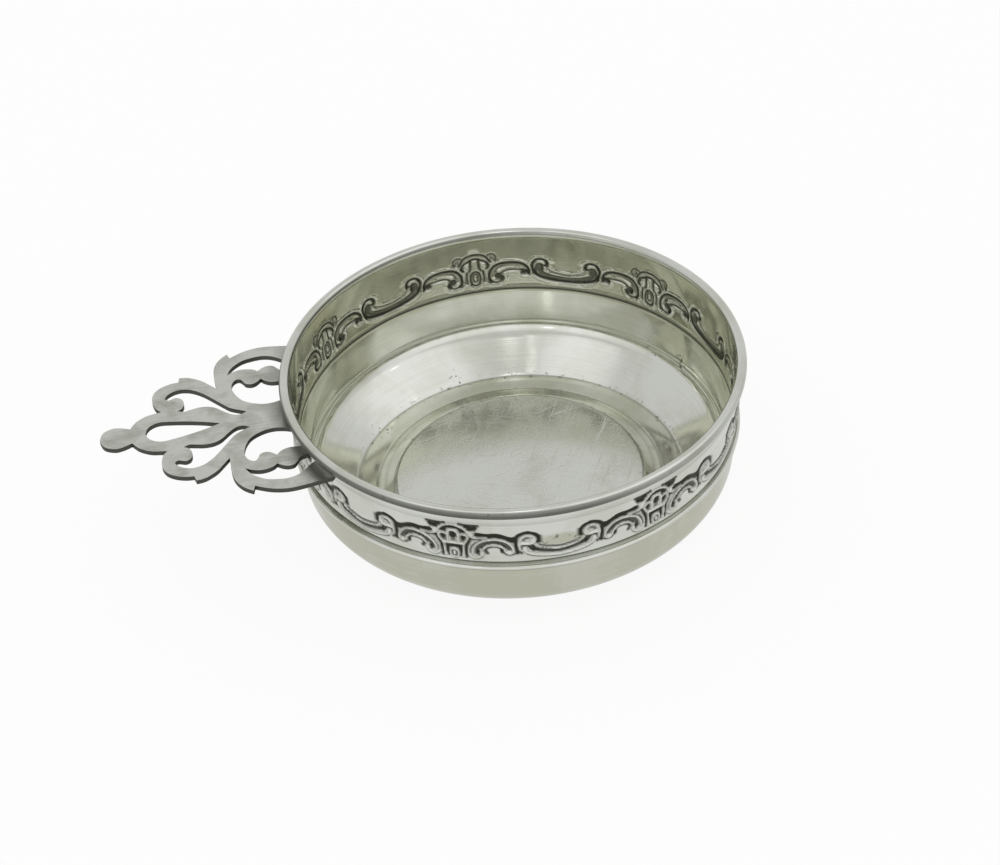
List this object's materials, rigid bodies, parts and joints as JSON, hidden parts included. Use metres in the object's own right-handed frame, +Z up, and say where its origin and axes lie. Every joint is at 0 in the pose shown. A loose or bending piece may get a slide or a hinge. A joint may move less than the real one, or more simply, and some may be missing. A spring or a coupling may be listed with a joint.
{
  "type": "porringer",
  "caption": "Shallow round silver porringer: a spun bowl with an embossed scroll border, bead wire at the waist, wire rim and a flat pierced handle soldered under the rim.",
  "frame": {"origin": "on the table, under the middle of the whole part's length and width", "axes": "+X away from the handle, +Y across the handle, +Z up out of the bowl"},
  "size_m": [0.1593, 0.115, 0.039],
  "materials": {
    "polished_silver": "polished silver, softly worn and slightly warm with tarnish",
    "embossed_silver": "die-rolled silver, bright on the raised scrolls and oxidised dark in the ground",
    "handle_silver": "flat silver plate, hand-worn to a satin sheen",
    "solder": "silver solder, dull and a little dark"
  },
  "bodies": {
    "root": {"bowl_shell": "polished_silver", "border_band": "embossed_silver", "waist_bead": "polished_silver", "rim_wire": "polished_silver", "handle_plate": "handle_silver", "solder_stem": "solder", "solder_lobe_far": "solder", "solder_lobe_near": "solder", "solder_arm_far": "solder", "solder_arm_near": "solder"}
  },
  "joints": []
}
